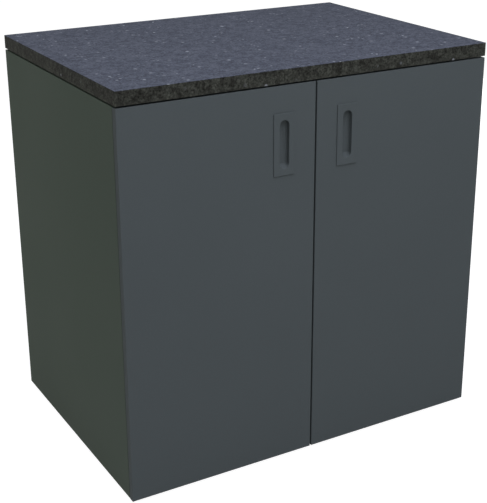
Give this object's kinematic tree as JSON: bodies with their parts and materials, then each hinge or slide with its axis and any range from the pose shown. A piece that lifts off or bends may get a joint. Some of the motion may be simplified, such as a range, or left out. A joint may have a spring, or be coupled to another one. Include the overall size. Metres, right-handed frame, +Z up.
{
  "type": "outdoor kitchen cabinet",
  "caption": "Free-standing outdoor kitchen base cabinet with a stone worktop, overlay doors on concealed hinges, flush pulls, a shelf and levelling feet.",
  "frame": {"origin": "on the floor, under the middle of the cabinet's box", "axes": "+Z up, the doors face -Y, +X to the right as seen from the front"},
  "size_m": [0.9, 0.6324, 0.904],
  "materials": {
    "stone": "honed dark stone with fine light flecks",
    "door_board": "matt anthracite compact laminate",
    "carcass_board": "matt anthracite compact laminate",
    "pull_plastic": "fine textured anthracite",
    "hinge_steel": "satin stainless steel",
    "fastener_steel": "stainless steel",
    "bracket_aluminium": "satin anodised",
    "foot_plastic": "black moulded polyamide",
    "rubber": "soft black rubber"
  },
  "bodies": {
    "carcass": {"back_panel": "carcass_board", "base_panel": "carcass_board", "bracket_screws": "fastener_steel", "corner_brackets": "bracket_aluminium", "foot_inserts": "fastener_steel", "hinge_arm_lower_left": "hinge_steel", "hinge_arm_lower_right": "hinge_steel", "hinge_arm_pins_lower_left": "fastener_steel", "hinge_arm_pins_lower_right": "fastener_steel", "hinge_arm_pins_upper_left": "fastener_steel", "hinge_arm_pins_upper_right": "fastener_steel", "hinge_arm_screws_left": "fastener_steel", "hinge_arm_screws_right": "fastener_steel", "hinge_arm_upper_left": "hinge_steel", "hinge_arm_upper_right": "hinge_steel", "hinge_plate_lower_left": "hinge_steel", "hinge_plate_lower_right": "hinge_steel", "hinge_plate_screws_left": "fastener_steel", "hinge_plate_screws_right": "fastener_steel", "hinge_plate_upper_left": "hinge_steel", "hinge_plate_upper_right": "hinge_steel", "shelf": "carcass_board", "shelf_pins": "fastener_steel", "side_panel_left": "carcass_board", "side_panel_right": "carcass_board", "top_rail_back": "carcass_board", "top_rail_front": "carcass_board", "worktop": "stone", "worktop_pads": "rubber"},
    "outer_links_left": {"hinge_outer_link_lower_left": "hinge_steel", "hinge_outer_link_upper_left": "hinge_steel"},
    "inner_links_left": {"hinge_inner_link_lower_left": "hinge_steel", "hinge_inner_link_upper_left": "hinge_steel"},
    "door_left": {"door_left": "door_board", "flush_pull_left": "pull_plastic", "flush_pull_screws_left": "fastener_steel", "door_bumpers_left": "rubber", "hinge_cup_screws_left": "fastener_steel", "hinge_cup_lower_left": "hinge_steel", "hinge_cup_upper_left": "hinge_steel"},
    "outer_links_right": {"hinge_outer_link_lower_right": "hinge_steel", "hinge_outer_link_upper_right": "hinge_steel"},
    "inner_links_right": {"hinge_inner_link_lower_right": "hinge_steel", "hinge_inner_link_upper_right": "hinge_steel"},
    "door_right": {"door_right": "door_board", "flush_pull_right": "pull_plastic", "flush_pull_screws_right": "fastener_steel", "door_bumpers_right": "rubber", "hinge_cup_screws_right": "fastener_steel", "hinge_cup_lower_right": "hinge_steel", "hinge_cup_upper_right": "hinge_steel"},
    "foot_back_left": {"foot_back_left": "foot_plastic"},
    "foot_back_right": {"foot_back_right": "foot_plastic"},
    "foot_front_left": {"foot_front_left": "foot_plastic"},
    "foot_front_right": {"foot_front_right": "foot_plastic"}
  },
  "joints": [
    {"name": "outer_links_left_swing", "type": "hinge", "parent": "carcass", "child": "outer_links_left", "pos_m": [-0.411, -0.28675, 0.439], "axis": [0, 0, -1], "range_deg": [-30, 0]},
    {"name": "door_left_swing", "type": "hinge", "parent": "outer_links_left", "child": "door_left", "pos_m": [-0.4391, -0.30145, 0.439], "axis": [0, 0, -1], "range_deg": [0, 124.45]},
    {"name": "inner_links_left_swing", "type": "hinge", "parent": "carcass", "child": "inner_links_left", "pos_m": [-0.418, -0.30765, 0.439], "axis": [0, 0, -1], "range_deg": [-41, 0]},
    {"name": "outer_links_right_swing", "type": "hinge", "parent": "carcass", "child": "outer_links_right", "pos_m": [0.411, -0.28675, 0.439], "axis": [0, 0, 1], "range_deg": [-30, 0]},
    {"name": "door_right_swing", "type": "hinge", "parent": "outer_links_right", "child": "door_right", "pos_m": [0.4391, -0.30145, 0.439], "axis": [0, 0, 1], "range_deg": [0, 124.45]},
    {"name": "inner_links_right_swing", "type": "hinge", "parent": "carcass", "child": "inner_links_right", "pos_m": [0.418, -0.30765, 0.439], "axis": [0, 0, 1], "range_deg": [-41, 0]},
    {"name": "foot_back_left_screw", "type": "slide", "parent": "carcass", "child": "foot_back_left", "axis": [0, 0, -1], "range_m": [0, 0.012]},
    {"name": "foot_back_right_screw", "type": "slide", "parent": "carcass", "child": "foot_back_right", "axis": [0, 0, -1], "range_m": [0, 0.012]},
    {"name": "foot_front_left_screw", "type": "slide", "parent": "carcass", "child": "foot_front_left", "axis": [0, 0, -1], "range_m": [0, 0.012]},
    {"name": "foot_front_right_screw", "type": "slide", "parent": "carcass", "child": "foot_front_right", "axis": [0, 0, -1], "range_m": [0, 0.012]}
  ],
  "couplings": [
    {"joint": "outer_links_left_swing", "follows": "door_left_swing", "ratio": -0.23664},
    {"joint": "inner_links_left_swing", "follows": "door_left_swing", "ratio": -0.32366},
    {"joint": "outer_links_right_swing", "follows": "door_right_swing", "ratio": -0.23664},
    {"joint": "inner_links_right_swing", "follows": "door_right_swing", "ratio": -0.32366}
  ]
}
